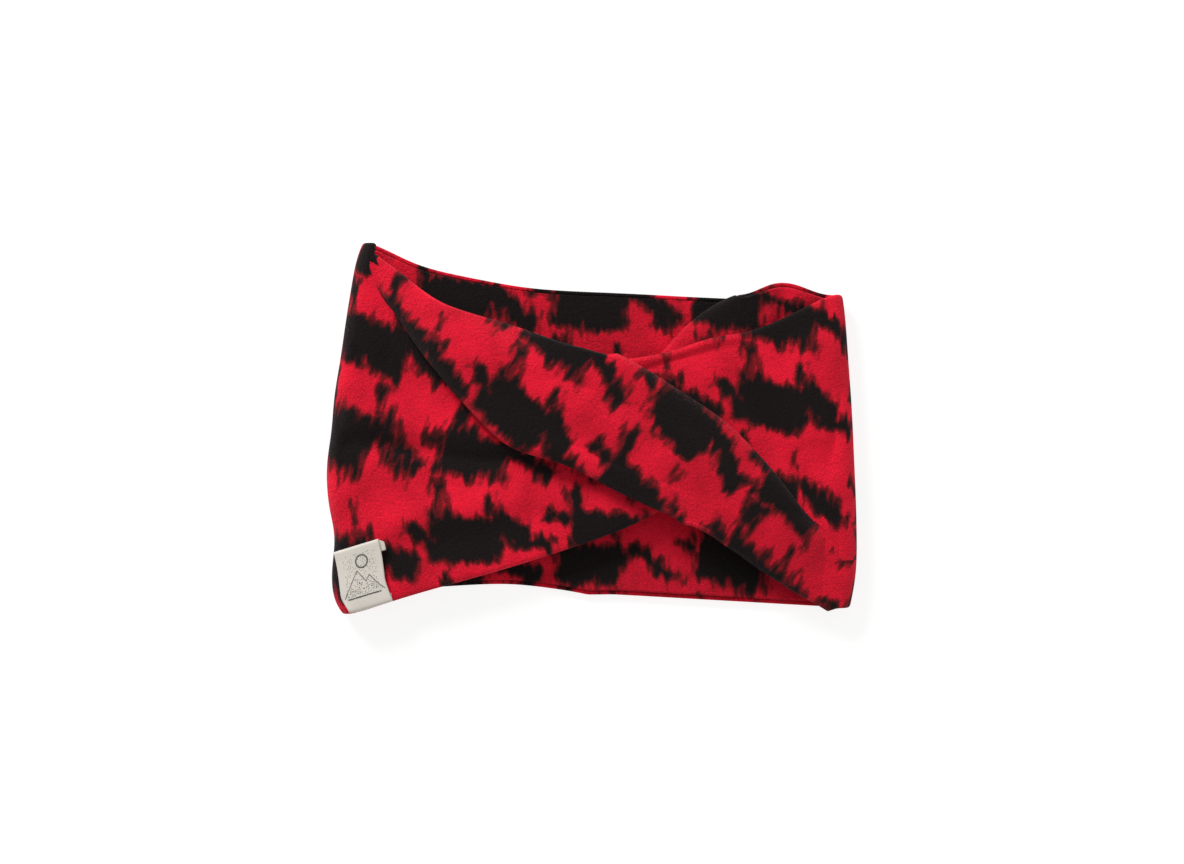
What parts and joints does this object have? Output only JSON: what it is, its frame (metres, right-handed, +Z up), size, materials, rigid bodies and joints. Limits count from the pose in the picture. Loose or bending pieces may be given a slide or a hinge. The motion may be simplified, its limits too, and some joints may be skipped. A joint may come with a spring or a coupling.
{
  "type": "neck gaiter",
  "caption": "Soft twist neck gaiter: a double fleece loop lying flat, with a diagonal front roll, rolled hems and a folded label that lifts.",
  "frame": {"origin": "middle of the flat loop's footprint, on the surface that it lies on", "axes": "+Z up through the panels, +X along the flat width towards the side without the label, +Y from the bottom hem to the top hem"},
  "size_m": [0.2794, 0.1972, 0.026],
  "materials": {
    "outer_fleece": "brushed fleece, red and black blotch print",
    "lining_fleece": "brushed fleece, red and black blotch print",
    "seam_thread": "polyester sewing thread",
    "label_ribbon": "woven satin ribbon"
  },
  "bodies": {
    "gaiter": {"outer_fleece": "outer_fleece", "lining_fleece": "lining_fleece", "top_seam_thread": "seam_thread", "bottom_seam_thread": "seam_thread", "closing_seam_thread": "seam_thread", "label_seam_thread": "seam_thread"},
    "label": {"folded_label": "label_ribbon"}
  },
  "joints": [
    {"name": "label_flap", "type": "hinge", "parent": "gaiter", "child": "label", "pos_m": [-0.1178, -0.0936, 0.01815], "axis": [0.9563, 0.2924, 0], "range_deg": [0, 170]}
  ]
}
